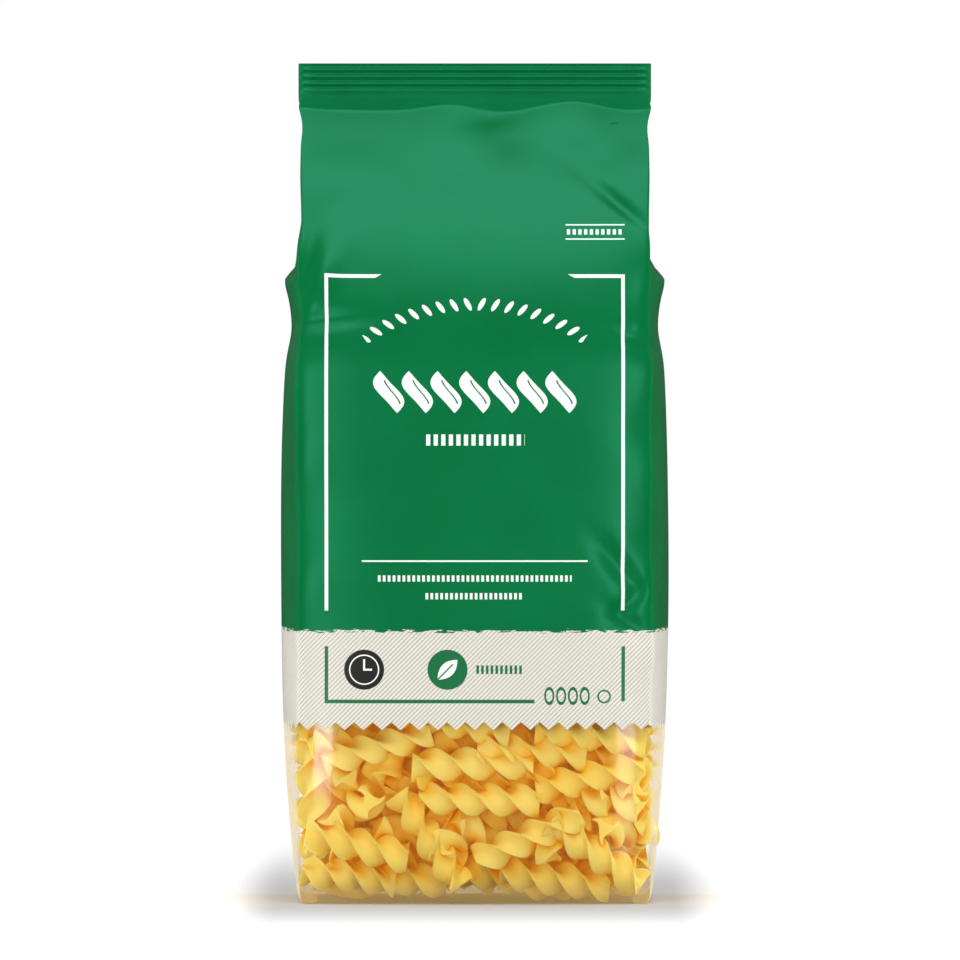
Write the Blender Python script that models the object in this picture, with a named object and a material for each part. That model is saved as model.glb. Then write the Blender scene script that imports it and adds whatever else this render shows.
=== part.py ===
"""Filled film packet with folded-in sides, standing on its flat base under a crimped top seal.

Metres, +Z up, the front panel facing -Y. The origin is the middle of the base.
The packet is sealed, so the film and what fills it are one solid.
"""

import math

import bmesh
import bpy

# Heights of the packet's stages, from the base up.
EDGE_RADIUS = 0.005
SHOULDER_Z = 0.163
TUCK_Z = 0.190
SEAL_Z = 0.2455
HEIGHT = 0.256

# Widths and depths. The crease is the fold between a broad panel and a side panel.
CREASE_HALF_WIDTH = 0.054
BASE_CREASE_HALF_WIDTH = 0.0535
SIDE_BULGE = 0.0054
SIDE_BULGE_TOP_Z = 0.206
BODY_HALF_DEPTH = 0.0355
BASE_HALF_DEPTH = 0.0335
FILL_OUT_Z = 0.060
PANEL_CROWN = 0.0028
CREASE_RADIUS = 0.0032
SHOULDER_POWER = 1.55

# The side panels fold in towards the top seal.
TUCK_DEPTH = 0.031
TUCK_ROUNDNESS = 2.4
TUCK_CLOSES_AT = 0.0055

# The crimped seal, and the lap seam down the back.
SEAL_HALF_THICKNESS = 0.0006
RIB_PITCH = 0.00215
RIB_HEIGHT = 0.00032
SEAM_THICKNESS = 0.0007
SEAM_START = 0.0
SEAM_END = 0.2
SEAM_STEP = 0.008

# The slack fold that crosses the front and the back below the shoulder.
SLACK_FOLD_Z = 0.1765
SLACK_FOLD_HALF_HEIGHT = 0.0050
SLACK_FOLD_DEPTH = 0.0012

# Fineness of the mesh.
EDGE_STEPS = 4
BODY_STEP = 0.0105
SHOULDER_STEP = 0.0046
STEPS_PER_RIB = 4
CORNER_STEPS = 3
SIDE_STEPS = 5
PANEL_FRACTIONS = (-1.0, -0.8, -0.55, -0.28, SEAM_START - SEAM_STEP, SEAM_START,
                   SEAM_END, SEAM_END + SEAM_STEP, 0.42, 0.62, 0.82, 1.0)


def smooth(value):
    """Ease from 0 to 1, clamped outside."""
    value = min(max(value, 0.0), 1.0)
    return value * value * (3.0 - 2.0 * value)


def base_rounding(z):
    """How far the outline is drawn in by the round of the base's edge."""
    if z >= EDGE_RADIUS:
        return 0.0
    return EDGE_RADIUS - math.sqrt(EDGE_RADIUS ** 2 - (EDGE_RADIUS - z) ** 2)


def half_depth(z):
    """Middle of the packet to the front panel's middle."""
    if z < SHOULDER_Z:
        filled = smooth(z / FILL_OUT_Z)
        return BASE_HALF_DEPTH + (BODY_HALF_DEPTH - BASE_HALF_DEPTH) * filled - base_rounding(z)
    rise = min((z - SHOULDER_Z) / (SEAL_Z - SHOULDER_Z), 1.0)
    return SEAL_HALF_THICKNESS + (BODY_HALF_DEPTH - SEAL_HALF_THICKNESS) * (1.0 - rise ** SHOULDER_POWER)


def crease_half_width(z):
    """Middle of the packet to the crease beside the front panel."""
    widened = smooth(z / FILL_OUT_Z)
    gain = CREASE_HALF_WIDTH - BASE_CREASE_HALF_WIDTH
    return BASE_CREASE_HALF_WIDTH + gain * widened - base_rounding(z)


def side_bulge(z):
    """How far a side panel's middle stands beyond its creases."""
    if z >= SIDE_BULGE_TOP_Z:
        return 0.0
    return SIDE_BULGE * math.sin(math.pi * z / SIDE_BULGE_TOP_Z) ** 0.6


def side_tuck(z):
    """How far a side panel's middle is folded in towards the top seal."""
    rise = min(max((z - TUCK_Z) / (SEAL_Z - TUCK_Z), 0.0), 1.0)
    mouth = (half_depth(z) - SEAL_HALF_THICKNESS) / TUCK_CLOSES_AT
    return TUCK_DEPTH * rise * smooth(mouth)


def panel_crown(z):
    """How far a broad panel's middle stands beyond its creases."""
    return PANEL_CROWN * min(half_depth(z) / BODY_HALF_DEPTH, 1.0) ** 2


def slack_fold(fraction, z):
    """Depth of the soft fold at this height, deepest beside the creases."""
    across = 0.35 + 0.65 * fraction * fraction
    return SLACK_FOLD_DEPTH * across * math.exp(-((z - SLACK_FOLD_Z) / SLACK_FOLD_HALF_HEIGHT) ** 2)


def front_half(z):
    """Points at height z from the left side's middle round the front to the right side's middle."""
    crease = crease_half_width(z)
    crown = panel_crown(z)
    depth = half_depth(z) - crown
    radius = min(CREASE_RADIUS, 0.45 * depth)
    bulge = side_bulge(z)
    tuck = side_tuck(z)

    right = []
    for fraction in PANEL_FRACTIONS:
        out = depth + crown * (1.0 - fraction * fraction) - slack_fold(fraction, z)
        right.append((fraction * (crease - radius), -out))
    for step in range(1, CORNER_STEPS + 1):
        angle = 0.5 * math.pi * step / CORNER_STEPS
        right.append((crease - radius + radius * math.sin(angle), -(depth - radius + radius * math.cos(angle))))
    for step in range(1, SIDE_STEPS + 1):
        across = 1.0 - step / SIDE_STEPS
        out = bulge * (1.0 - across ** 2) - tuck * (1.0 - across ** TUCK_ROUNDNESS)
        right.append((crease + out, -(depth - radius) * across))

    left_turn = [(-x, y) for x, y in right[len(PANEL_FRACTIONS):]]
    return left_turn[::-1] + right


def outline(z):
    """The closed outline at height z: the front half, then the back half with its lap seam."""
    front = front_half(z)
    before_panel = CORNER_STEPS + SIDE_STEPS
    seam = [before_panel + PANEL_FRACTIONS.index(edge) for edge in (SEAM_START, SEAM_END)]
    back = [(x, -y + (SEAM_THICKNESS if index in seam else 0.0)) for index, (x, y) in enumerate(front)]
    ribs = math.sin(2.0 * math.pi * (z - SEAL_Z) / RIB_PITCH) if z > SEAL_Z else 0.0
    return [(x, y + RIB_HEIGHT * ribs, z) for x, y in front + back[-2:0:-1]]


def levels():
    """Heights of the outlines, closer together where the packet turns or is ribbed."""
    heights = []
    for step in range(EDGE_STEPS):
        angle = 0.5 * math.pi * step / EDGE_STEPS
        heights.append(EDGE_RADIUS * (1.0 - math.cos(angle)))
    for start, end, step in ((EDGE_RADIUS, SHOULDER_Z, BODY_STEP),
                             (SHOULDER_Z, SEAL_Z, SHOULDER_STEP),
                             (SEAL_Z, HEIGHT, RIB_PITCH / STEPS_PER_RIB)):
        count = round((end - start) / step)
        heights.extend(start + (end - start) * index / count for index in range(count))
    heights.append(HEIGHT)
    return heights


def close_end(mesh, ring, upwards):
    """Cover an end of the packet with a row of faces from the front to the back."""
    half = len(ring) // 2
    for index in range(half):
        corners = []
        for vertex in (ring[index], ring[index + 1], ring[-index - 1], ring[-index]):
            if vertex not in corners:
                corners.append(vertex)
        mesh.faces.new(corners if upwards else corners[::-1])


def make_packet():
    """Loft the packet through its outlines, and close its base and its top edge."""
    mesh = bmesh.new()
    rings = [[mesh.verts.new(point) for point in outline(z)] for z in levels()]
    for lower, upper in zip(rings, rings[1:]):
        for index in range(len(lower)):
            following = (index + 1) % len(lower)
            mesh.faces.new((lower[index], lower[following], upper[following], upper[index]))
    close_end(mesh, rings[0], upwards=False)
    close_end(mesh, rings[-1], upwards=True)
    bmesh.ops.recalc_face_normals(mesh, faces=mesh.faces)
    data = bpy.data.meshes.new("packet")
    mesh.to_mesh(data)
    mesh.free()
    data.shade_smooth()
    data.set_sharp_from_angle(angle=math.radians(40.0))
    packet = bpy.data.objects.new("packet", data)
    bpy.context.scene.collection.objects.link(packet)
    return packet


def make_film_material():
    """Glossy green printed film."""
    material = bpy.data.materials.new("printed_film")
    material.use_nodes = True
    shader = material.node_tree.nodes["Principled BSDF"]
    shader.inputs["Base Color"].default_value = (0.002, 0.181, 0.051, 1.0)
    shader.inputs["Roughness"].default_value = 0.32
    shader.inputs["Metallic"].default_value = 0.0
    return material


for leftover in list(bpy.data.objects):
    bpy.data.objects.remove(leftover, do_unlink=True)
make_packet().data.materials.append(make_film_material())
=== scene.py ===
import math
import random

import bpy
import numpy as np
from mathutils import Matrix, Vector, noise


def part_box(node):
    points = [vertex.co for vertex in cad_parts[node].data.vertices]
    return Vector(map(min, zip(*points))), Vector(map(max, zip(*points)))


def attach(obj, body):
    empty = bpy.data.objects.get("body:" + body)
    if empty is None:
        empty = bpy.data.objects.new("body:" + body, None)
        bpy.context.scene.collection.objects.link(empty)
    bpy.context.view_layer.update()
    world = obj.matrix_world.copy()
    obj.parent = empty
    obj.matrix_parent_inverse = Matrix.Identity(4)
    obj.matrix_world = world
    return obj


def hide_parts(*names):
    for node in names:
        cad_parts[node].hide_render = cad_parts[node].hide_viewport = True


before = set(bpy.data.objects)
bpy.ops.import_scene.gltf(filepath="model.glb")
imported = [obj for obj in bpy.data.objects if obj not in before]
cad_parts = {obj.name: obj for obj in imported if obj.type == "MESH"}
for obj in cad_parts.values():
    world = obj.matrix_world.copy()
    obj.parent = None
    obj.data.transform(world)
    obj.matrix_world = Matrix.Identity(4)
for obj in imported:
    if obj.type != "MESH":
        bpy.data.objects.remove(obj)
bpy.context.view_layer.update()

low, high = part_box("packet")


# The studio: a white table, a camera with a long lens in front of the packet, looking slightly
# down, and softboxes above and at both sides. The softboxes make the bright slope under the top seal
# and the upright streaks beside the panel's creases.
VIEW_HEIGHT = 0.2923
CAMERA_DISTANCE = 6.0
CAMERA_TILT = math.radians(1.8)
AIM_Z = 0.1284
CAMERA_ASIDE = 0.0016
SENSOR = 0.036
TABLE_SIZE = 18.0
TABLE_GAIN = 1.16
# The table's colour where its painted shadow is deepest, and how far that shadow reaches beside, before and
# behind the packet.
PAINTED_SHADOW_GAIN = 0.58
SHADE_BESIDE = 0.012
SHADE_BEFORE = 0.12
SHADE_BEHIND = 0.28
SEAMLESS_FROM = 0.25
SEAMLESS_TO = 0.75
ROOM_LIGHT = 0.64
ROOM_REFLECTED = 0.09


class Value:
    """A number or a colour that varies over a surface. Sums written with it become Math nodes."""

    def __init__(self, tree, socket):
        self.tree = tree
        self.socket = socket

    def node(self, kind, settings, inputs, output=0):
        """Add a node of this kind to the same material and return one of its outputs."""
        made = self.tree.nodes.new(kind)
        for name, setting in settings.items():
            setattr(made, name, setting)
        for place, given in inputs.items():
            if isinstance(given, Value):
                self.tree.links.new(given.socket, made.inputs[place])
            else:
                made.inputs[place].default_value = given
        return Value(self.tree, made.outputs[output])

    def noise(self, scale, detail):
        """Soft random spots over this place, each about 1 / scale across."""
        inputs = {"Vector": self, "Scale": scale, "Detail": detail}
        return self.node("ShaderNodeTexNoise", {}, inputs, output="Fac")

    def relief(self, strength, distance):
        """This value as a fine height, for a Normal socket."""
        inputs = {"Height": self, "Strength": strength, "Distance": distance}
        return self.node("ShaderNodeBump", {}, inputs, output="Normal")

    def sum(self, operation, *others):
        return self.node("ShaderNodeMath", {"operation": operation}, dict(enumerate(others)))

    def __add__(self, other):
        return self.sum("ADD", self, other)

    def __radd__(self, other):
        return self.sum("ADD", other, self)

    def __sub__(self, other):
        return self.sum("SUBTRACT", self, other)

    def __rsub__(self, other):
        return self.sum("SUBTRACT", other, self)

    def __mul__(self, other):
        return self.sum("MULTIPLY", self, other)

    def __rmul__(self, other):
        return self.sum("MULTIPLY", other, self)

    def __truediv__(self, other):
        return self.sum("DIVIDE", self, other)

    def __lt__(self, other):
        return self.sum("LESS_THAN", self, other)

    def __gt__(self, other):
        return self.sum("GREATER_THAN", self, other)

    def __mod__(self, other):
        return self.sum("FLOORED_MODULO", self, other)

    def __abs__(self):
        return self.sum("ABSOLUTE", self)

    def __and__(self, other):
        return self.sum("MINIMUM", self, other)

    def __or__(self, other):
        return self.sum("MAXIMUM", self, other)

    def ease(self, start, end):
        """0 below start, 1 above end, and a smooth rise between."""
        return self.node("ShaderNodeMapRange", {"interpolation_type": "SMOOTHSTEP"},
                         {"Value": self, "From Min": start, "From Max": end})

    def tint(self, first, second):
        """The first colour where this is 0, and the second where it is 1."""
        return self.node("ShaderNodeMix", {"data_type": "RGBA"}, {0: self, 6: first, 7: second}, output=2)


def colour(red, green, blue):
    """A colour from its everyday 0 to 255 numbers."""
    def linear(level):
        level = level / 255
        return level / 12.92 if level <= 0.04045 else ((level + 0.055) / 1.055) ** 2.4
    return (linear(red), linear(green), linear(blue), 1.0)


def new_material(name):
    """A material, its Principled shader, its output, and a first Value to grow others from."""
    material = bpy.data.materials.new(name)
    material.use_nodes = True
    tree = material.node_tree
    shader = tree.nodes["Principled BSDF"]
    output = tree.nodes["Material Output"]
    return material, shader, output, Value(tree, None)


def clear_selection():
    if bpy.context.mode != "OBJECT":
        bpy.ops.object.mode_set(mode="OBJECT")
    bpy.ops.object.select_all(action="DESELECT")


def choose(mesh_object, wanted, mode="VERT"):
    """Select the vertices or faces of the object in edit mode for which wanted is true."""
    bpy.ops.object.mode_set(mode="EDIT")
    bpy.ops.mesh.select_mode(type=mode)
    bpy.ops.mesh.select_all(action="DESELECT")
    bpy.ops.object.mode_set(mode="OBJECT")
    items = mesh_object.data.vertices if mode == "VERT" else mesh_object.data.polygons
    for item in items:
        item.select = bool(wanted(item))
    bpy.ops.object.mode_set(mode="EDIT")


clear_selection()
bpy.ops.mesh.primitive_plane_add(size=TABLE_SIZE, location=(0, 0, 0))
table = bpy.context.object
table.name = "white_table"
paper, paper_shader, paper_output, start = new_material("white_paper")
paper_shader.inputs["Roughness"].default_value = 0.9
paper_shader.inputs["Specular IOR Level"].default_value = 0.1
place = start.node("ShaderNodeTexCoord", {}, {}, output="Object")
mottle = place.noise(60.0, 2.0)
paper_colour = mottle.tint((0.83, 0.83, 0.83, 1), (0.85, 0.85, 0.85, 1))
paper.node_tree.links.new(paper_colour.socket, paper_shader.inputs["Base Color"])
plain = Value(paper.node_tree, paper_shader.outputs[0])
white = start.node("ShaderNodeEmission", {}, {"Color": (1, 1, 1, 1), "Strength": 1.0}, output=0)
left_right = place.node("ShaderNodeSeparateXYZ", {}, {0: place}, output="X")
to_back = place.node("ShaderNodeSeparateXYZ", {}, {0: place}, output="Y")
# The table's colour is darkened round the packet's foot, reaching furthest behind it and least to its sides:
# a painted shadow, seen only by the camera.
beside = ((abs(left_right) - high.x) | 0.0) / SHADE_BESIDE
before = ((low.y - to_back) | 0.0) / SHADE_BEFORE
behind = ((to_back - high.y) | 0.0) / SHADE_BEHIND
painted_shadow = place.sum("POWER", math.e, 0.0 - beside * beside - before * before - behind * behind)
bright = start.node("ShaderNodeBsdfDiffuse", {}, {"Color": painted_shadow.tint(
    (TABLE_GAIN, TABLE_GAIN, TABLE_GAIN, 1), (PAINTED_SHADOW_GAIN, PAINTED_SHADOW_GAIN, PAINTED_SHADOW_GAIN, 1))}, output=0)
away = place.node("ShaderNodeVectorMath", {"operation": "LENGTH"}, {0: place}, output="Value")
far_off = away.ease(SEAMLESS_FROM, SEAMLESS_TO)
sweep = start.node("ShaderNodeMixShader", {}, {0: far_off, 1: bright, 2: white})
seen = start.node("ShaderNodeLightPath", {}, {}, output="Is Camera Ray")
glossed = start.node("ShaderNodeLightPath", {}, {}, output="Is Glossy Ray")
shade = start.node("ShaderNodeBsdfDiffuse", {}, {"Color": (0.08, 0.08, 0.08, 1)}, output=0)
hidden = start.node("ShaderNodeMixShader", {}, {0: glossed, 1: plain, 2: shade})
shown = start.node("ShaderNodeMixShader", {}, {0: seen, 1: hidden, 2: sweep})
paper.node_tree.links.new(shown.socket, paper_output.inputs["Surface"])
table.data.materials.append(paper)

lens = bpy.data.cameras.new("camera")
lens.sensor_width = 1000 * SENSOR
lens.lens = 1000 * SENSOR * (CAMERA_DISTANCE + low.y) / VIEW_HEIGHT
lens.clip_end = 100
camera = bpy.data.objects.new("camera", lens)
camera.location = (CAMERA_ASIDE, -CAMERA_DISTANCE * math.cos(CAMERA_TILT),
                   AIM_Z + CAMERA_DISTANCE * math.sin(CAMERA_TILT))
camera.rotation_euler = (math.radians(90) - CAMERA_TILT, 0, 0)
bpy.context.scene.collection.objects.link(camera)
bpy.context.scene.camera = camera
bpy.context.scene.view_settings.view_transform = "Standard"


def softbox(name, place, aim, width, height, radiance, mirrored=True):
    """A rectangular lamp at a place, turned towards the point that it lights."""
    lamp = bpy.data.lights.new(name, "AREA")
    lamp.shape = "RECTANGLE"
    lamp.size = width
    lamp.size_y = height
    lamp.energy = radiance * math.pi * width * height
    holder = bpy.data.objects.new(name, lamp)
    holder.location = place
    holder.rotation_euler = (Vector(aim) - Vector(place)).to_track_quat("-Z", "Y").to_euler()
    holder.visible_camera = False
    holder.visible_glossy = mirrored
    bpy.context.scene.collection.objects.link(holder)


softbox("front_softbox", (0, -1.12, 1.82), (0, 0, 0.16), 1.40, 0.90, 3.6)
softbox("left_streak", (-0.265, -0.76, 0.14), (0, 0, 0.13), 0.11, 0.36, 6.5)
softbox("right_streak", (0.265, -0.76, 0.14), (0, 0, 0.13), 0.11, 0.36, 6.5)
softbox("left_softbox", (-0.75, 0.16, 0.16), (0, 0, 0.13), 0.50, 0.50, 4.4, mirrored=False)
softbox("right_softbox", (0.75, 0.16, 0.16), (0, 0, 0.13), 0.50, 0.50, 4.4, mirrored=False)

world = bpy.data.worlds.new("studio")
world.use_nodes = True
bpy.context.scene.world = world
air = Value(world.node_tree, None)
looking = air.node("ShaderNodeLightPath", {}, {}, output="Is Camera Ray")
mirrored = air.node("ShaderNodeLightPath", {}, {}, output="Is Glossy Ray")
through = air.node("ShaderNodeLightPath", {}, {}, output="Is Transmission Ray")
strength = (ROOM_LIGHT + (1.0 - ROOM_LIGHT) * (looking | through)
            - (ROOM_LIGHT - ROOM_REFLECTED) * mirrored)
world.node_tree.links.new(strength.socket, world.node_tree.nodes["Background"].inputs["Strength"])
world.node_tree.nodes["Background"].inputs["Color"].default_value = (1, 1, 1, 1)


# The film bag: a printed tube of clear film, filled, with the side panels folded in under the
# seal. It is drawn as a straight box first, which carries the print, and then filled out.
SEAL_Z = high.z - 0.0105
SHOULDER_Z = 0.163
TUCK_Z = 0.190
CREASE_HALF_WIDTH = 0.054
BASE_CREASE_HALF_WIDTH = 0.0535
SIDE_BULGE = 0.0054
SIDE_BULGE_TOP_Z = 0.206
BODY_HALF_DEPTH = -low.y
BASE_HALF_DEPTH = BODY_HALF_DEPTH - 0.002
FILL_OUT_Z = 0.060
FOOT_ROUND_Z = 0.014
PANEL_CROWN = 0.0028
CROWN_POWER = 5.0
SHOULDER_POWER = 1.55
FLAT_BAND = 0.0028
TUCK_DEPTH = 0.031
TUCK_ROUNDNESS = 2.4
TUCK_CLOSES_AT = 0.0055
SEAL_HALF_THICKNESS = 0.0006
CREASE_SUPPORT = 0.0032
BASE_SUPPORT = 0.0042


def smooth(value):
    value = min(max(value, 0.0), 1.0)
    return value * value * (3.0 - 2.0 * value)


def half_depth(z):
    """Middle of the bag to the front panel's middle."""
    if z < SHOULDER_Z:
        return BASE_HALF_DEPTH + (BODY_HALF_DEPTH - BASE_HALF_DEPTH) * smooth(z / FOOT_ROUND_Z)
    rise = min((z - SHOULDER_Z) / (SEAL_Z - FLAT_BAND - SHOULDER_Z), 1.0)
    return SEAL_HALF_THICKNESS + (BODY_HALF_DEPTH - SEAL_HALF_THICKNESS) * (1.0 - rise ** SHOULDER_POWER)


def panel_crown(z):
    """How far a broad panel's middle stands beyond its creases."""
    return PANEL_CROWN * min(half_depth(z) / BODY_HALF_DEPTH, 1.0) ** 2


def crease_half_width(z):
    """Middle of the bag to the crease beside the front panel."""
    base_share = (CREASE_HALF_WIDTH - BASE_CREASE_HALF_WIDTH) * (1.0 - smooth(z / FILL_OUT_Z))
    return CREASE_HALF_WIDTH - base_share + 0.0005 * smooth((z - 0.205) / 0.02) * (
        1.0 - smooth((z - 0.230) / 0.008))


def side_bulge(z):
    """How far a side panel's middle passes its creases: a knuckle at the shoulder, a waist below."""
    if not 0.0 < z < SIDE_BULGE_TOP_Z:
        return 0.0
    knuckle = 0.0019 * math.exp(-((z - 0.190) / 0.0055) ** 2)
    knuckle -= 0.0012 * math.exp(-((z - 0.1745) / 0.007) ** 2)
    return SIDE_BULGE * math.sin(math.pi * z / SIDE_BULGE_TOP_Z) ** 0.6 + knuckle


def side_tuck(z):
    """How far a side panel's middle is folded in under the seal."""
    rise = min(max((z - TUCK_Z) / (SEAL_Z - TUCK_Z), 0.0), 1.0)
    return TUCK_DEPTH * rise * smooth((half_depth(z) - SEAL_HALF_THICKNESS) / TUCK_CLOSES_AT)


def filled(x, y, z):
    """Where a point of the straight box lies on the filled bag."""
    across = x / CREASE_HALF_WIDTH
    along = y / BODY_HALF_DEPTH
    level = z
    z += 0.0028 * noise.noise(Vector((46 * x, 0.4, 0))) * smooth((z - 0.222) / 0.012)
    crown = panel_crown(z)
    side = side_bulge(z) * (1.0 - along ** 2) - side_tuck(z) * (1.0 - abs(along) ** TUCK_ROUNDNESS)
    return Vector((across * (crease_half_width(z) + side),
                   along * (half_depth(z) - crown * min(abs(across), 1.0) ** CROWN_POWER), level))


# Soft creases and dents of the bag: place along and up the film, half length, half width,
# turn in degrees, and depth. A negative depth stands out.
DENTS = (
    (-0.052, 0.193, 0.0120, 0.0030, 78, 0.0012),
    (-0.047, 0.190, 0.0110, 0.0034, 66, -0.0010),
    (-0.050, 0.178, 0.0160, 0.0030, 4, 0.0012),
    (0.052, 0.171, 0.0100, 0.0026, -20, 0.0012),
    (0.050, 0.182, 0.0100, 0.0036, 80, -0.0009),
    (0.043, 0.214, 0.0110, 0.0018, -40, 0.0009),
    (0.030, 0.230, 0.0100, 0.0060, -15, 0.0008),
    (0.005, 0.240, 0.0080, 0.0040, 10, 0.0006),
    (0.044, 0.103, 0.0100, 0.0030, -50, 0.0013),
    (0.047, 0.092, 0.0080, 0.0024, 45, 0.0010),
    (0.046, 0.087, 0.0070, 0.0020, -35, 0.0009),
    (-0.040, 0.213, 0.0140, 0.0060, 25, 0.0005),
    (-0.020, 0.224, 0.0180, 0.0070, -10, 0.0004),
)
WAVE_REACH = 0.0075


def dent(along, up):
    """How far the film is pressed in at a place on it."""
    total = 0.0
    for at, height, length, width, turn, depth in DENTS:
        right, over = along - at, up - height
        if abs(right) + abs(over) > 3.2 * (length + width):
            continue
        angle = math.radians(turn)
        lengthwise = right * math.cos(angle) + over * math.sin(angle)
        crosswise = over * math.cos(angle) - right * math.sin(angle)
        total += depth * math.exp(-(lengthwise / length) ** 2 - (crosswise / width) ** 2)
    return total


def slackness(along, up, where):
    """Gentle unevenness of the film, stronger as waves beside the creases."""
    broad = noise.noise(Vector((where.x * 24, where.y * 24, where.z * 17)))
    by_crease = math.exp(-((abs(along) - CREASE_HALF_WIDTH) / WAVE_REACH) ** 2)
    wave = noise.noise(Vector((where.x * 9, where.y * 9, up * 62)))
    free = smooth(up / 0.02) * smooth((SEAL_Z - up) / 0.015)
    taut = (0.15 + 0.85 * smooth((up - 0.05) / 0.03)) * (1.0 - 0.85 * smooth((up - TUCK_Z) / 0.02))
    return free * (0.00036 * broad + 0.0011 * by_crease * wave * taut)


clear_selection()
bpy.ops.mesh.primitive_cube_add(size=1, location=(0, 0, 0))
bag = bpy.context.object
bag.name = "film_front"
bag.scale = (2 * CREASE_HALF_WIDTH, 2 * BODY_HALF_DEPTH, SEAL_Z)
bag.location = (0, 0, SEAL_Z / 2)
bpy.ops.object.transform_apply(location=True, scale=True)
cuts = []
for column in (0.0, 0.018, 0.036, CREASE_HALF_WIDTH - CREASE_SUPPORT):
    cuts += [((side * column, 0, 0), (1, 0, 0)) for side in {-1, 1 if column else -1}]
for row in (0.0, 0.016, BODY_HALF_DEPTH - CREASE_SUPPORT):
    cuts += [((0, side * row, 0), (0, 1, 0)) for side in {-1, 1 if row else -1}]
body_levels = np.linspace(BASE_SUPPORT, SHOULDER_Z, 16)
upper_levels = np.linspace(SHOULDER_Z, SEAL_Z, 14)[1:-1]
cuts += [((0, 0, float(level)), (0, 0, 1)) for level in (*body_levels, *upper_levels)]
bpy.ops.object.mode_set(mode="EDIT")
for centre, direction in cuts:
    bpy.ops.mesh.select_all(action="SELECT")
    bpy.ops.mesh.bisect(plane_co=centre, plane_no=direction)
bpy.ops.object.mode_set(mode="OBJECT")
rounding = bag.modifiers.new("rounding", "SUBSURF")
rounding.levels = 3
rounding.render_levels = 3
bpy.ops.object.modifier_apply(modifier="rounding")
bpy.ops.object.shade_smooth()


def print_place(x, y, z, underneath):
    """Where a point of the straight box lies on the flat film: along from the panel's middle, and up."""
    outward = math.copysign(1.0, y)
    if underneath:
        return -outward * x, -(BODY_HALF_DEPTH - abs(y))
    return -outward * math.copysign(abs(x) + BODY_HALF_DEPTH - abs(y), x), z


def lay_out_print(piece):
    """Give a piece of film its place on the printed sheet, in metres and fitted to a square."""
    mesh = piece.data
    sheet = mesh.uv_layers.new(name="print")
    fitted = mesh.uv_layers.new(name="OFBake")
    reach = CREASE_HALF_WIDTH + BODY_HALF_DEPTH
    for polygon in mesh.polygons:
        underneath = polygon.normal.z < -0.75 and polygon.center.z < 0.002
        for loop in polygon.loop_indices:
            x, y, z = mesh.vertices[mesh.loops[loop].vertex_index].co
            y = math.copysign(max(abs(y), 1e-7), polygon.center.y)
            across, up = print_place(x, y, z, underneath)
            sheet.data[loop].uv = (across, up)
            fitted.data[loop].uv = (0.5 + 0.49 * across / reach,
                                    0.01 + 0.98 * (up + BODY_HALF_DEPTH) / (high.z + BODY_HALF_DEPTH))


def fill_out(piece):
    """Move a piece of film from the straight box to the filled bag, with its dents."""
    mesh = piece.data
    flat = [vertex.co.copy() for vertex in mesh.vertices]
    for vertex, at in zip(mesh.vertices, flat):
        vertex.co = filled(*at)
    mesh.update()
    outwards = [vertex.normal.copy() for vertex in mesh.vertices]
    for vertex, at, outward in zip(mesh.vertices, flat, outwards):
        across, up = print_place(at.x, math.copysign(max(abs(at.y), 1e-7), at.y), at.z, False)
        facing = smooth(up / 0.004) * smooth((SEAL_Z - up) / 0.004)
        pressed = dent(across, up) if at.y < 0 else dent(-0.8 * across, up - 0.006)
        vertex.co += outward * facing * (slackness(across, up, vertex.co) - pressed)
    mesh.update()


lay_out_print(bag)
fill_out(bag)
bpy.context.view_layer.objects.active = bag
bag.select_set(True)
choose(bag, lambda polygon: polygon.center.y > 0, mode="FACE")
bpy.ops.mesh.separate(type="SELECTED")
bpy.ops.object.mode_set(mode="OBJECT")
back = next(thing for thing in bpy.context.selected_objects if thing is not bag)
back.name = "film_back"
# The printed sheet: deep green ink with a white frame down to a brushed edge, then a cream band
# ruled with fine slanting lines, ending in a zigzag, and clear film from there round the foot.
GREEN = colour(0, 112, 55)
GREEN_SOFT = colour(0, 106, 50)
INK_SHEEN = (0.18, 1.0, 0.76, 1.0)
MARK_GREEN = colour(16, 112, 62)
WHITE = colour(243, 248, 245)
CREAM = colour(223, 220, 209)
RULING = colour(118, 116, 108)
DISC_BLACK = colour(34, 33, 31)
EYE_MARK = colour(0, 74, 36)
VEIL = colour(222, 186, 112)
# The pale colour that the clear film is painted with when seen edge-on, as a painted reflection.
PAINTED_EDGE_REFLECTION = colour(250, 240, 210)
BRUSHED_EDGE = 0.0834
BRUSH_REACH = 0.0011
ZIGZAG_TOP = 0.0557
ZIGZAG_TIP = 0.0533
ZIGZAG_PITCH = 0.00566
RULING_PITCH = 2 * (CREASE_HALF_WIDTH + BODY_HALF_DEPTH) / 128
RULING_WIDTH = 0.00021
LINE = 0.0011
FRAME_X = 0.0452
FRAME_TOP = 0.1915
FRAME_FOOT = 0.0897
ARM_END = 0.0284
BAND_FRAME_TOP = 0.0788
BAND_FRAME_FOOT = 0.0620


def within(value, centre, width):
    """1 in a stripe of this width about the centre."""
    return abs(value - centre) < width / 2


def between(value, start, end):
    return within(value, (start + end) / 2, end - start)


def disc(across, up, centre, radius):
    """Distance from a centre as a share of the radius, squared."""
    right = (across - centre[0]) / radius
    over = (up - centre[1]) / radius
    return right * right + over * over


def ticks(across, up, start, end, height, tall, pitch):
    """A row of small upright strokes, where a line of small print would be."""
    return (between(across, start, end) & within(up, height, tall)
            & ((across - start) % pitch < 0.55 * pitch))


def frame_lines(across, up):
    """The upright white lines beside the panel, and the arms at their tops with slanted ends."""
    aside = abs(across)
    uprights = within(aside, FRAME_X, LINE) & between(up, FRAME_FOOT, FRAME_TOP + LINE / 2)
    slanted = aside > ARM_END + 1.8 * (FRAME_TOP + LINE / 2 - up)
    arms = within(up, FRAME_TOP, LINE) & (aside < FRAME_X + LINE / 2) & slanted
    return uprights | arms


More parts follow.
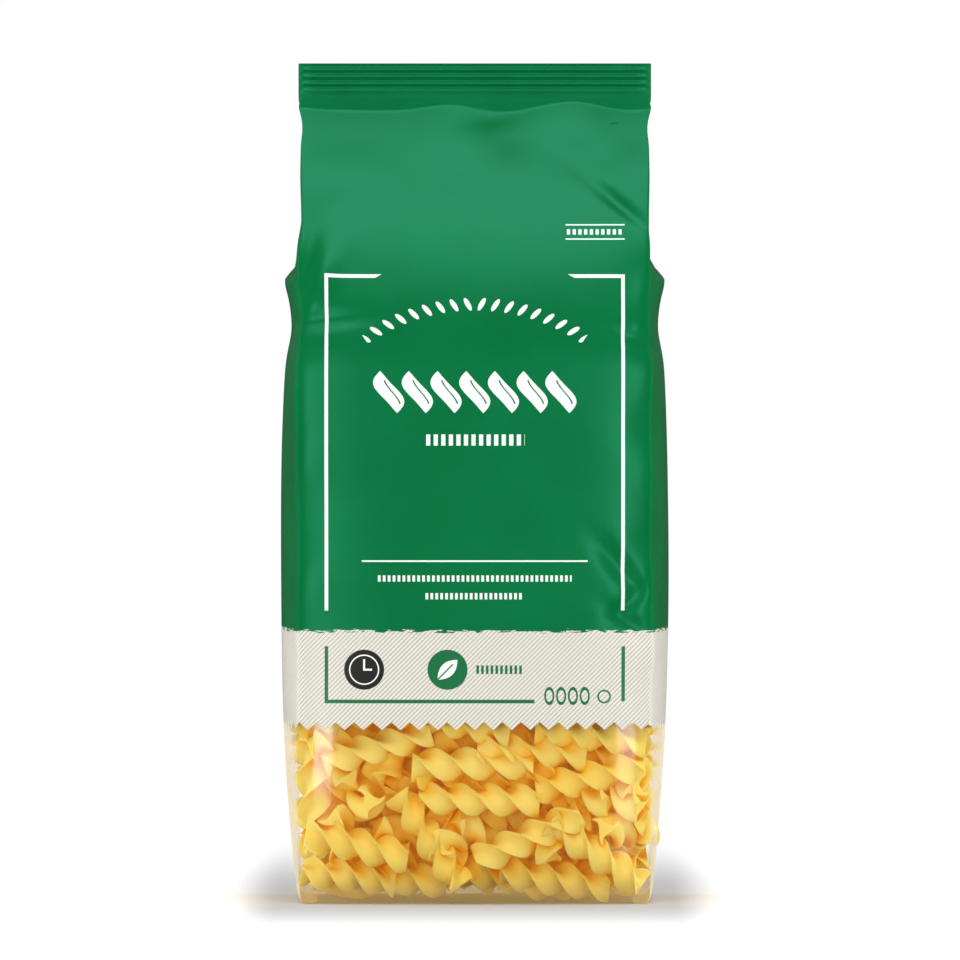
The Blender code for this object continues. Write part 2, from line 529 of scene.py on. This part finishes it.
def garland(across, up):
    """An arc of slanting wheat grains."""
    centre, radius, cell = 0.1236, 0.0594, math.radians(4.05)
    over = up - centre
    angle = abs(across.sum("ARCTAN2", across, over))
    reach = (across * across + over * over).sum("SQRT", across * across + over * over) - radius
    beside = (angle % cell - cell / 2) * radius
    lean = math.radians(28)
    length = reach * math.cos(lean) + beside * math.sin(lean)
    width = beside * math.cos(lean) - reach * math.sin(lean)
    grain = disc(length, width * 2.9, (0, 0), 0.00215) < 1.0
    return grain & (angle < 8.5 * cell)


def twist(across, up):
    """A row of seven slanting blades with a fold line: a pasta spiral as a simple sign."""
    pitch, middle = 0.00874, 0.1563
    over = up - middle
    sway = 0.0009 * (over * 507).sum("SINE", over * 507)
    right = (across + 0.42 * over + sway + 3.5 * pitch) % pitch - pitch / 2
    blade = abs(right) < 0.0033 * (1.0 - (over * over) / 0.0064 ** 2)
    fold = (abs(right - 0.0011) > 0.00025) | (abs(over) > 0.0036)
    return blade & fold & between(across + 0.42 * over + sway, -3.5 * pitch, 3.5 * pitch)


def white_marks(across, up, front):
    marks = frame_lines(across, up)
    if front:
        label = within(abs(up - 0.20485), 0.00215, 0.0004) & between(across, 0.0277, 0.0457)
        marks = marks | label | ticks(across, up, 0.0281, 0.0454, 0.20485, 0.0016, 0.00175)
        marks = marks | garland(across, up) | twist(across, up)
        marks = marks | ticks(across, up, -0.0148, 0.0152, 0.1417, 0.0034, 0.0023)
        marks = marks | (within(up, 0.1048, 0.0005) & (abs(across) < 0.0344))
        marks = marks | ticks(across, up, -0.0295, 0.0295, 0.0995, 0.0019, 0.00150)
        marks = marks | ticks(across, up, -0.0150, 0.0150, 0.0941, 0.0019, 0.00150)
    else:
        rows = ((up - 0.1) % 0.0046 < 0.0017) & between(up, 0.0985, 0.180)
        strokes = (across % 0.0013 < 0.0007) & (abs(across) < 0.0385)
        words = 1.0 - ((across + 1.7 * (up - up % 0.0046)) % 0.0117 < 0.0017)
        marks = marks | (rows & strokes & words)
    return marks


def band_marks(across, up, front):
    """Green lines and signs on the cream band."""
    marks = within(abs(across), FRAME_X, LINE) & between(up, BAND_FRAME_FOOT, BAND_FRAME_TOP)
    end = 0.0182 if front else FRAME_X
    marks = marks | (within(up, BAND_FRAME_FOOT, LINE) & between(across, -FRAME_X - LINE / 2, end))
    if front:
        leaf_disc = disc(across, up, (-0.0083, 0.0717), 0.0061)
        marks = marks | (leaf_disc < 1.0)
        marks = marks | ticks(across, up, 0.0005, 0.0145, 0.0717, 0.0026, 0.00145)
        weight = disc((across - 0.0209) % 0.0036 - 0.0018, (up - 0.0637) * 0.56, (0, 0), 0.00155)
        marks = marks | (between(weight, 0.42, 1.0) & between(across, 0.0209, 0.0353))
        marks = marks | between(disc(across, up, (0.0394, 0.0635), 0.0021), 0.55, 1.0)
    return marks


def leaf(across, up):
    """A pale leaf with a midrib, on the green disc."""
    right, over = across + 0.0083, up - 0.0717
    length, width = (right + over) * 0.7071, abs(over - right) * 0.7071
    blade = width < 0.0021 - (length * length) * 115
    return blade & (1.0 - ((width < 0.00022) & (length > -0.0060) & (length < 0.0024)))


def clock(across, up):
    """A plain dial with two hands, on the black disc."""
    right, over = across + 0.0337, up - 0.0717
    ring = between(disc(across, up, (-0.0337, 0.0717), 0.0046), 0.84, 1.0)
    hands = (within(right, 0.0, 0.0006) & between(over, -0.0003, 0.0032)) | (
        within(over, 0.0, 0.0006) & between(right, -0.0003, 0.0024))
    return ring | hands


def make_film(name, front):
    film, shader, output, start = new_material(name)
    sheet = start.node("ShaderNodeUVMap", {"uv_map": "print"}, {}, output="UV")
    across = sheet.node("ShaderNodeSeparateXYZ", {}, {"Vector": sheet}, output="X")
    up = sheet.node("ShaderNodeSeparateXYZ", {}, {"Vector": sheet}, output="Y")
    body = start.node("ShaderNodeTexCoord", {}, {}, output="Object")

    brush_place = start.node("ShaderNodeCombineXYZ", {}, {"X": 260 * across, "Y": 1500 * up})
    bristles = brush_place.noise(1.0, 4.0)
    inked = up > BRUSHED_EDGE + (bristles - 0.5) * (4.0 * BRUSH_REACH)
    teeth = abs((across % ZIGZAG_PITCH) - ZIGZAG_PITCH / 2) * (2 / ZIGZAG_PITCH)
    window = up < ZIGZAG_TIP + (ZIGZAG_TOP - ZIGZAG_TIP) * (1.0 - teeth)

    mottle = body.noise(34.0, 3.0)
    green = mottle.ease(0.3, 0.7).tint(GREEN_SOFT, GREEN)
    green = white_marks(across, up, front).tint(green, WHITE)
    ruled = ((across - up) % RULING_PITCH < RULING_WIDTH)
    cream = ruled.tint(CREAM, RULING)
    cream = band_marks(across, up, front).tint(cream, MARK_GREEN)
    if front:
        eye = between(across, 0.0413, 0.0437) & within(up, 0.2377, 0.0005)
        green = eye.tint(green, EYE_MARK)
        cream = (disc(across, up, (-0.0337, 0.0717), 0.0061) < 1.0).tint(cream, DISC_BLACK)
        cream = (clock(across, up) | leaf(across, up)).tint(cream, WHITE)
    inside = start.node("ShaderNodeNewGeometry", {}, {}, output="Backfacing")
    green = (inside & (up < 0.13)).tint(green, CREAM)
    film.node_tree.links.new(cream.socket, shader.inputs["Base Color"])

    grain = body.noise(900.0, 2.0)
    relief = grain.relief(0.04, 0.0005)
    roughness = 0.27 + 0.08 * mottle
    for socket, value in (("Roughness", roughness), ("Normal", relief)):
        film.node_tree.links.new(value.socket, shader.inputs[socket])
    shader.inputs["Specular IOR Level"].default_value = 0.30
    ink = start.node("ShaderNodeBsdfPrincipled", {}, {
        "Base Color": green, "Roughness": roughness, "Normal": relief, "Specular IOR Level": 0.5,
        "Specular Tint": INK_SHEEN})

    gloss = start.node("ShaderNodeBsdfGlossy", {}, {"Color": (1, 1, 1, 1), "Roughness": 0.10})
    clear = start.node("ShaderNodeBsdfTransparent", {}, {"Color": (1.0, 0.99, 0.97, 1)})
    facing = start.node("ShaderNodeLayerWeight", {}, {"Blend": 0.5}, output="Facing")
    edgewise = 0.06 + 0.35 * facing.sum("POWER", facing, 5.0)
    open_film = start.node("ShaderNodeMixShader", {}, {0: edgewise, 1: clear, 2: gloss})
    milky = start.node("ShaderNodeBsdfDiffuse", {}, {"Color": VEIL})
    folded = 0.010 + 0.34 * (1.0 - up.ease(0.004, 0.0075))
    hazed = start.node("ShaderNodeMixShader", {}, {0: folded, 1: open_film, 2: milky})
    # Seen edge-on, the clear film takes on a pale diffuse colour that grows with the viewing angle: a
    # painted reflection of the bright surroundings.
    painted_reflection = start.node("ShaderNodeBsdfDiffuse", {}, {"Color": PAINTED_EDGE_REFLECTION})
    painted_reflection_share = 0.60 * facing.sum("POWER", facing, 3.0)
    with_painted_reflection = start.node("ShaderNodeMixShader", {}, {0: painted_reflection_share, 1: hazed, 2: painted_reflection})
    band = Value(film.node_tree, shader.outputs[0])
    opaque = start.node("ShaderNodeMixShader", {}, {0: inked, 1: band, 2: ink})
    whole = start.node("ShaderNodeMixShader", {}, {0: window, 1: opaque, 2: with_painted_reflection})
    film.node_tree.links.new(whole.socket, output.inputs["Surface"])
    return film


bag.data.materials.append(make_film("front_film", True))
back.data.materials.append(make_film("back_film", False))
for half in (bag, back):
    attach(half, "root")
    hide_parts("packet")


# The top seal: the front, the back and both folded sides welded together between ribbed jaws,
# which leaves a stiff flat fin with four rounded ribs and a plain lip.
RIB_PITCH = 0.00215
RIB_HEIGHT = 0.00055
FIRST_RIB = 0.0016
RIBS = 4

clear_selection()
bpy.ops.mesh.primitive_cube_add(size=1)
seal = bpy.context.object
seal.name = "crimped_seal"
fin_height = high.z - SEAL_Z + FLAT_BAND - 0.0008
seal.scale = (2 * CREASE_HALF_WIDTH, 2 * SEAL_HALF_THICKNESS, fin_height)
seal.location = (0, 0, high.z - fin_height / 2)
bpy.ops.object.transform_apply(location=True, scale=True)
bpy.ops.object.mode_set(mode="EDIT")
rib_levels = [SEAL_Z + FIRST_RIB + step * RIB_PITCH / 4 for step in range(4 * RIBS + 1)]
rib_columns = [side * (CREASE_HALF_WIDTH - inset) for side in (-1, 1) for inset in (0.0008, 0.0026)]
for centre, direction in ([((0, 0, level), (0, 0, 1)) for level in rib_levels]
                          + [((column, 0, 0), (1, 0, 0)) for column in rib_columns]
                          + [((column, 0, 0), (1, 0, 0)) for column in np.linspace(-0.045, 0.045, 13)]):
    bpy.ops.mesh.select_all(action="SELECT")
    bpy.ops.mesh.bisect(plane_co=centre, plane_no=direction)
bpy.ops.object.mode_set(mode="OBJECT")
ribbed_half_width = CREASE_HALF_WIDTH - 0.0020
for index, level in enumerate(rib_levels):
    lift = RIB_HEIGHT * (0, -1, 0, 1)[index % 4]
    if lift:
        choose(seal, lambda vertex: abs(vertex.co.z - level) < 1e-5 and abs(vertex.co.x) < ribbed_half_width)
        bpy.ops.transform.translate(value=(0, lift, 0))
        bpy.ops.object.mode_set(mode="OBJECT")
rounding = seal.modifiers.new("rounding", "SUBSURF")
rounding.levels = 2
rounding.render_levels = 2
bpy.ops.object.modifier_apply(modifier="rounding")
bpy.ops.object.shade_smooth()
for vertex in seal.data.vertices:
    ripple = noise.noise(Vector((vertex.co.x * 40, 0, vertex.co.z * 20)))
    vertex.co.y += 0.0004 * ripple * smooth((vertex.co.z - SEAL_Z) / 0.004)
fin, fin_shader, _, start = new_material("seal_film")
place = start.node("ShaderNodeTexCoord", {}, {}, output="Object")
mottle = place.noise(60.0, 3.0)
grain = place.noise(900.0, 2.0)
relief = grain.relief(0.05, 0.0005)
for socket, value in (("Base Color", mottle.ease(0.3, 0.7).tint(GREEN_SOFT, GREEN)),
                      ("Roughness", 0.30 + 0.08 * mottle), ("Normal", relief)):
    fin.node_tree.links.new(value.socket, fin_shader.inputs[socket])
fin_shader.inputs["Specular IOR Level"].default_value = 0.5
fin_shader.inputs["Specular Tint"].default_value = INK_SHEEN
seal.data.materials.append(fin)
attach(seal, "root")
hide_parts("packet")


# The lap seam: where the sheet's two edges meet down the back they are welded face to face, and
# the narrow double strip is laid flat to one side.
SEAM_WIDTH = 0.0108
SEAM_THICKNESS = 0.00055

clear_selection()
bpy.ops.mesh.primitive_cube_add(size=1)
seam = bpy.context.object
seam.name = "back_seam"
seam.scale = (SEAM_WIDTH, SEAM_THICKNESS, SEAL_Z - 0.0020)
seam.location = (SEAM_WIDTH / 2, BODY_HALF_DEPTH, SEAL_Z / 2 + 0.0010)
bpy.ops.object.transform_apply(location=True, scale=True)
bpy.ops.object.mode_set(mode="EDIT")
for level in np.linspace(0.003, SEAL_Z - 0.002, 80):
    bpy.ops.mesh.select_all(action="SELECT")
    bpy.ops.mesh.bisect(plane_co=(0, 0, float(level)), plane_no=(0, 0, 1))
for column in (0.0006, 0.0036, 0.0072, SEAM_WIDTH - 0.0006):
    bpy.ops.mesh.select_all(action="SELECT")
    bpy.ops.mesh.bisect(plane_co=(column, 0, 0), plane_no=(1, 0, 0))
bpy.ops.object.mode_set(mode="OBJECT")
lay_out_print(seam)
for vertex in seam.data.vertices:
    x, y, z = vertex.co
    outside = y > BODY_HALF_DEPTH
    vertex.co = filled(x, BODY_HALF_DEPTH, z)
    sway = noise.noise(Vector((3.1, 0, z * 26)))
    vertex.co.y += (SEAM_THICKNESS + 0.0004 if outside else -0.0008) + 0.0002 * sway
bpy.ops.object.shade_smooth_by_angle(angle=math.radians(40))
seam.data.materials.append(back.data.materials[0])
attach(seam, "root")
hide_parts("packet")


# The pasta: dry durum wheat spirals, each a ribbon with three swept blades that is twisted as it
# leaves the die and cut square. They lie loose, pressed against the clear film.
SPIRAL_RADIUS = 0.0053
SPIRAL_LENGTH = 0.035
SPIRAL_STEPS = 28
BLADE_SWEEP = math.radians(34)
SPIRAL_ROOM = 0.0044
FILM_GAP = 0.0004
LOOSE_SPIRALS = 122
CORE_HALF_WIDTH = 0.033
CORE_HALF_DEPTH = 0.011
PASTA_TOP = 0.066


def blade_outline():
    """The cut end of a spiral: three pointed blades, swept one way."""
    corners = []
    for blade in range(3):
        rounded_rim = ((0.54, -0.140), (0.82, -0.078), (1.0, 0.0), (0.82, 0.078), (0.54, 0.140))
        for radius, half_thickness in rounded_rim:
            angle = math.radians(120 * blade) + half_thickness / radius + BLADE_SWEEP * radius ** 1.5
            corners.append((radius * SPIRAL_RADIUS, angle))
        corners.append((0.34 * SPIRAL_RADIUS, math.radians(120 * blade + 60) + BLADE_SWEEP * 0.2))
    return [(radius * math.cos(angle), radius * math.sin(angle)) for radius, angle in corners]


def make_spiral(name, pitch, bend):
    """One spiral, upright and centred on the origin, with this length for each full turn."""
    clear_selection()
    outline = blade_outline()
    foot = -SPIRAL_LENGTH / 2
    bpy.ops.mesh.primitive_circle_add(vertices=len(outline), radius=SPIRAL_RADIUS, fill_type="NGON",
                                      location=(0, 0, 0))
    spiral = bpy.context.object
    spiral.name = name
    for vertex, (x, y) in zip(spiral.data.vertices, outline):
        vertex.co = (x, y, foot)
    bpy.ops.object.mode_set(mode="EDIT")
    bpy.ops.mesh.select_all(action="SELECT")
    step = SPIRAL_LENGTH / SPIRAL_STEPS
    for index in range(SPIRAL_STEPS):
        bpy.ops.mesh.extrude_region_move(TRANSFORM_OT_translate={"value": (0, 0, step)})
        bpy.ops.transform.rotate(value=-2 * math.pi * step / pitch, orient_axis="Z",
                                 center_override=(0, 0, foot + (index + 1) * step))
    bpy.ops.mesh.select_all(action="SELECT")
    bpy.ops.mesh.normals_make_consistent(inside=False)
    bpy.ops.object.mode_set(mode="OBJECT")
    bpy.ops.object.shade_smooth_by_angle(angle=math.radians(52))
    for vertex in spiral.data.vertices:
        along = vertex.co.z / SPIRAL_LENGTH
        ripple = noise.noise(Vector((4.0 * along, pitch * 900, 0.7 * vertex.co.x / SPIRAL_RADIUS)))
        vertex.co.x += bend * along * along + 0.0004 * ripple
        vertex.co.y += 0.5 * bend * math.sin(3.0 * along)
    return spiral


# Spirals seen best, pressed to the front film: across, up, turn, swing towards the front, length
# in millimetres and degrees, and how many layers in they lie.
FRONT_SPIRALS = (
    (-29.8, 47.8, 17, 0, 34, 0.0), (-29.0, 37.0, 8, 0, 31, 1.0), (-0.6, 42.8, -3, 0, 37, 0.0),
    (1.3, 31.8, -3, 0, 37, 0.1), (-14.0, 19.6, -54, 0, 34, 0.0), (-36.0, 17.9, -8, 0, 32, 0.0),
    (-37.5, 29.0, 20, 70, 33, 0.0), (-38.6, 8.4, -8, 0, 29, 0.3), (-24.5, 7.6, -7, 0, 32, 0.8),
    (-3.6, 20.6, 200, 62, 34, 0.0), (-8.6, 9.0, -72, 0, 30, 0.7), (26.0, 46.0, -10, 0, 34, 0.9),
    (35.4, 51.6, -6, 0, 34, 0.0), (35.2, 38.6, 10, 0, 34, 0.1), (37.0, 29.2, -13, 0, 32, 0.9),
    (16.4, 20.2, 26, 0, 35, 0.0), (37.0, 13.4, -34, 0, 34, 0.0), (46.8, 21.5, 160, 66, 32, 0.1),
    (24.4, 7.4, -6, 0, 34, 0.5), (6.6, 7.0, -9, 0, 32, 0.9), (8.0, 54.0, -16, 0, 34, 0.9),
    (-6.0, 55.5, -9, 0, 34, 0.0), (-37.5, 58.0, 10, 0, 34, 0.2), (-49.5, 38.0, 88, 0, 34, 0.6),
    (50.0, 35.0, 92, 0, 34, 1.0), (38.5, 6.8, 10, 0, 30, 1.5), (-22.5, 28.5, -20, 0, 33, 1.3),
)


def front_ends(row):
    """The two ends of a spiral pressed to the front film."""
    across, up, turn, swing, length, layer = row
    turn, swing = math.radians(turn), math.radians(swing)
    along = Vector((math.cos(turn) * math.cos(swing), -math.sin(swing), math.sin(turn) * math.cos(swing)))
    half = length / 2000
    lowest = half * abs(along.z) + SPIRAL_RADIUS + FILM_GAP
    middle = Vector((across / 1000, 0, max(up / 1000, lowest)))
    middle.y = -half_depth(middle.z) + FILM_GAP + panel_crown(middle.z) * (middle.x / CREASE_HALF_WIDTH) ** 2
    middle.y += SPIRAL_RADIUS * (1 + 1.6 * layer) * math.cos(swing) + half * math.sin(swing)
    return middle - half * along, middle + half * along


def keep_in(ends):
    """Hold the loose spirals' ends inside the film and outside the core."""
    z = np.clip(ends[..., 2], SPIRAL_RADIUS + 0.0006, PASTA_TOP)
    wall_x = np.vectorize(lambda level: crease_half_width(level) + 0.7 * side_bulge(level))(z)
    wall_y = np.vectorize(lambda level: half_depth(level) - 0.6 * panel_crown(level))(z)
    x = np.clip(ends[..., 0], -wall_x + SPIRAL_RADIUS + FILM_GAP, wall_x - SPIRAL_RADIUS - FILM_GAP)
    y = np.clip(ends[..., 1], -wall_y + SPIRAL_RADIUS + FILM_GAP, wall_y - SPIRAL_RADIUS - FILM_GAP)
    inside = (np.abs(x) < CORE_HALF_WIDTH + 0.002) & (np.abs(y) < CORE_HALF_DEPTH + 0.002)
    y = np.where(inside, np.where(y < 0, -1, 1) * (CORE_HALF_DEPTH + 0.002), y)
    return np.stack((x, y, z), axis=-1)


def nearest_shares(first, second):
    """How far along each pair of spirals their nearest points lie."""
    start_1, run_1 = first[:, None, 0], first[:, None, 1] - first[:, None, 0]
    start_2, run_2 = second[None, :, 0], second[None, :, 1] - second[None, :, 0]
    apart = start_1 - start_2
    own_1 = (run_1 * run_1).sum(-1)
    own_2 = (run_2 * run_2).sum(-1)
    cross = (run_1 * run_2).sum(-1)
    toward_1 = (run_1 * apart).sum(-1)
    toward_2 = (run_2 * apart).sum(-1)
    spread = own_1 * own_2 - cross * cross + 1e-12
    share_1 = np.clip((cross * toward_2 - toward_1 * own_2) / spread, 0, 1)
    share_2 = np.clip((cross * share_1 + toward_2) / own_2, 0, 1)
    share_1 = np.clip((cross * share_2 - toward_1) / own_1, 0, 1)
    return share_1, share_2


def shake_down(ends, lengths, held, rounds):
    """Push overlapping spirals apart until they lie beside each other; the first held ones stay."""
    count = len(ends)
    for _ in range(rounds):
        share_1, share_2 = nearest_shares(ends, ends)
        point_1 = ends[:, None, 0] + share_1[..., None] * (ends[:, None, 1] - ends[:, None, 0])
        point_2 = ends[None, :, 0] + share_2[..., None] * (ends[None, :, 1] - ends[None, :, 0])
        painted_gap_shade_and_glow = point_1 - point_2
        distance = np.sqrt((painted_gap_shade_and_glow * painted_gap_shade_and_glow).sum(-1)) + 1e-9
        push = np.clip(2 * SPIRAL_ROOM - distance, 0, None)
        push[np.arange(count), np.arange(count)] = 0
        move = 0.45 * push[..., None] * painted_gap_shade_and_glow / distance[..., None]
        ends[:, 0] += ((1 - share_1)[..., None] * move).sum(1)
        ends[:, 1] += (share_1[..., None] * move).sum(1)
        middles = ends.mean(axis=1)
        middles[:, 2] -= 0.00006
        runs = ends[:, 1] - ends[:, 0]
        runs *= (lengths / np.sqrt((runs * runs).sum(-1)) / 2)[:, None]
        ends = np.stack((middles - runs, middles + runs), axis=1)
        ends = keep_in(ends)
        ends[:len(held)] = held
    return ends


random.seed(41)
held = np.array([front_ends(row) for row in FRONT_SPIRALS])
loose = []
while len(loose) < LOOSE_SPIRALS:
    middle = Vector((random.uniform(-0.050, 0.050), random.uniform(-0.030, 0.030),
                     random.uniform(0.006, PASTA_TOP)))
    if abs(middle.x) < CORE_HALF_WIDTH and abs(middle.y) < CORE_HALF_DEPTH:
        continue
    turn = random.uniform(0, 2 * math.pi)
    rise = random.gauss(0, 0.35)
    half = random.uniform(0.0148, 0.0178) * Vector((math.cos(turn), math.sin(turn), rise)).normalized()
    loose.append((middle - half, middle + half))
ends = np.concatenate((held, np.array(loose)))
lengths = np.sqrt(((ends[:, 1] - ends[:, 0]) ** 2).sum(-1))
ends = shake_down(ends, lengths, held, 140)

masters = [make_spiral("spiral_tight", 0.0262, 0.0010), make_spiral("spiral_even", 0.0274, -0.0016),
           make_spiral("spiral_open", 0.0286, 0.0024)]
spirals = []
for index, (foot, head) in enumerate(ends):
    run = Vector(head - foot)
    roll = random.uniform(0, 2 * math.pi)
    girth = random.uniform(0.95, 1.05)
    master = masters[index % len(masters)]
    spiral = bpy.data.objects.new(f"spiral_{index}", master.data.copy())
    stretch = Matrix.Diagonal((girth, girth, run.length / SPIRAL_LENGTH, 1))
    spin = Matrix.Rotation(roll, 4, "Z")
    stand = run.to_track_quat("Z", "Y").to_matrix().to_4x4()
    spiral.data.transform(Matrix.Translation((Vector(foot) + Vector(head)) / 2) @ stand @ spin @ stretch)
    tint = spiral.data.attributes.new("batch", "FLOAT", "POINT")
    tint.data.foreach_set("value", [random.random()] * len(spiral.data.vertices))
    bpy.context.scene.collection.objects.link(spiral)
    spirals.append(spiral)
for master in masters:
    bpy.data.objects.remove(master, do_unlink=True)
clear_selection()
for spiral in spirals:
    spiral.select_set(True)
bpy.context.view_layer.objects.active = spirals[0]
bpy.ops.object.join()
pasta = bpy.context.object
pasta.name = "pasta_spirals"

# Colours of the pasta. The third is a deeper orange painted into the gaps between spirals as shade, and the
# last two are the colours of a faint painted glow, stronger in the gaps.
PASTA_PALE = (0.91, 0.755, 0.205, 1)
PASTA_DEEP = (0.91, 0.690, 0.125, 1)
PASTA_PAINTED_SHADE = (0.92, 0.540, 0.015, 1)
PAINTED_GLOW = (0.015, 0.008, 0.0, 1)
PAINTED_GLOW_STRONGER = (0.080, 0.034, 0.0, 1)
NEIGHBOUR_REACH = 0.010
wheat, wheat_shader, _, start = new_material("durum_wheat")
place = start.node("ShaderNodeTexCoord", {}, {}, output="Object")
batch = start.node("ShaderNodeAttribute", {"attribute_name": "batch"}, {}, output="Fac")
cloud = place.noise(150.0, 4.0)
flour = place.noise(1500.0, 3.0)
depth = (0.55 * batch + 0.9 * (cloud - 0.5) + 0.25).ease(0.0, 1.0)
# Where the occlusion test finds neighbouring spirals close, the colour turns to the deeper orange and the
# glow grows: painted shade and painted glow in the gaps.
open_sky = start.node("ShaderNodeAmbientOcclusion", {"only_local": True, "samples": 6},
                      {"Distance": NEIGHBOUR_REACH}, output="AO")
painted_gap_shade_and_glow = 1.0 - open_sky.ease(0.15, 0.80)
relief = (cloud + 0.5 * flour).relief(0.12, 0.0004)
for socket, value in (("Base Color", painted_gap_shade_and_glow.tint(depth.tint(PASTA_PALE, PASTA_DEEP), PASTA_PAINTED_SHADE)),
                      ("Emission Color", painted_gap_shade_and_glow.tint(PAINTED_GLOW, PAINTED_GLOW_STRONGER)),
                      ("Roughness", 0.44 + 0.16 * flour), ("Normal", relief)):
    wheat.node_tree.links.new(value.socket, wheat_shader.inputs[socket])
wheat_shader.inputs["Emission Strength"].default_value = 1.0
wheat_shader.inputs["Subsurface Weight"].default_value = 0.50
wheat_shader.inputs["Subsurface Radius"].default_value = (1.0, 0.75, 0.40)
wheat_shader.inputs["Subsurface Scale"].default_value = 0.0016
wheat_shader.inputs["Specular IOR Level"].default_value = 0.30
pasta.data.materials.clear()
pasta.data.materials.append(wheat)
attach(pasta, "root")
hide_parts("packet")


# The heart of the filling: more of the same pasta, out of sight behind the outer spirals and
# behind the printed film, as one lumpy block up to the shoulder.
clear_selection()
bpy.ops.mesh.primitive_cube_add(size=1)
core = bpy.context.object
core.name = "pasta_heart"
core.scale = (2 * CORE_HALF_WIDTH, 2 * CORE_HALF_DEPTH, SHOULDER_Z - 0.006)
core.location = (0, 0, (SHOULDER_Z + 0.006) / 2)
bpy.ops.object.transform_apply(location=True, scale=True)
bpy.ops.object.mode_set(mode="EDIT")
bpy.ops.mesh.select_all(action="SELECT")
bpy.ops.mesh.bisect(plane_co=(0, 0, PASTA_TOP + 0.012), plane_no=(0, 0, 1))
bpy.ops.mesh.select_all(action="SELECT")
bpy.ops.mesh.subdivide(number_cuts=14)
bpy.ops.object.mode_set(mode="OBJECT")
for vertex in core.data.vertices:
    spread = smooth((vertex.co.z - PASTA_TOP - 0.004) / 0.010)
    vertex.co.x *= 1 + 0.48 * spread
    vertex.co.y *= 1 + 1.75 * spread
rounding = core.modifiers.new("rounding", "SUBSURF")
rounding.levels = 1
rounding.render_levels = 1
bpy.ops.object.modifier_apply(modifier="rounding")
core.data.update()
outwards = [vertex.normal.copy() for vertex in core.data.vertices]
for vertex, outward in zip(core.data.vertices, outwards):
    lump = noise.noise(vertex.co * 160) + 0.5 * noise.noise(vertex.co * 330)
    vertex.co += outward * (0.0022 * lump)
bpy.ops.object.shade_smooth()
# Its colour mixes the deeper orange used as painted shade with the deep pasta tone, and it glows faintly as
# painted light.
dim, dim_shader, _, start = new_material("durum_wheat_behind")
place = start.node("ShaderNodeTexCoord", {}, {}, output="Object")
cloud = place.noise(150.0, 4.0)
for socket, value in (("Base Color", cloud.ease(0.3, 0.7).tint(PASTA_PAINTED_SHADE, PASTA_DEEP)),
                      ("Emission Color", cloud.ease(0.3, 0.7).tint(PAINTED_GLOW_STRONGER, PAINTED_GLOW))):
    dim.node_tree.links.new(value.socket, dim_shader.inputs[socket])
dim_shader.inputs["Emission Strength"].default_value = 1.0
dim_shader.inputs["Roughness"].default_value = 0.6
core.data.materials.append(dim)
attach(core, "root")
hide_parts("packet")
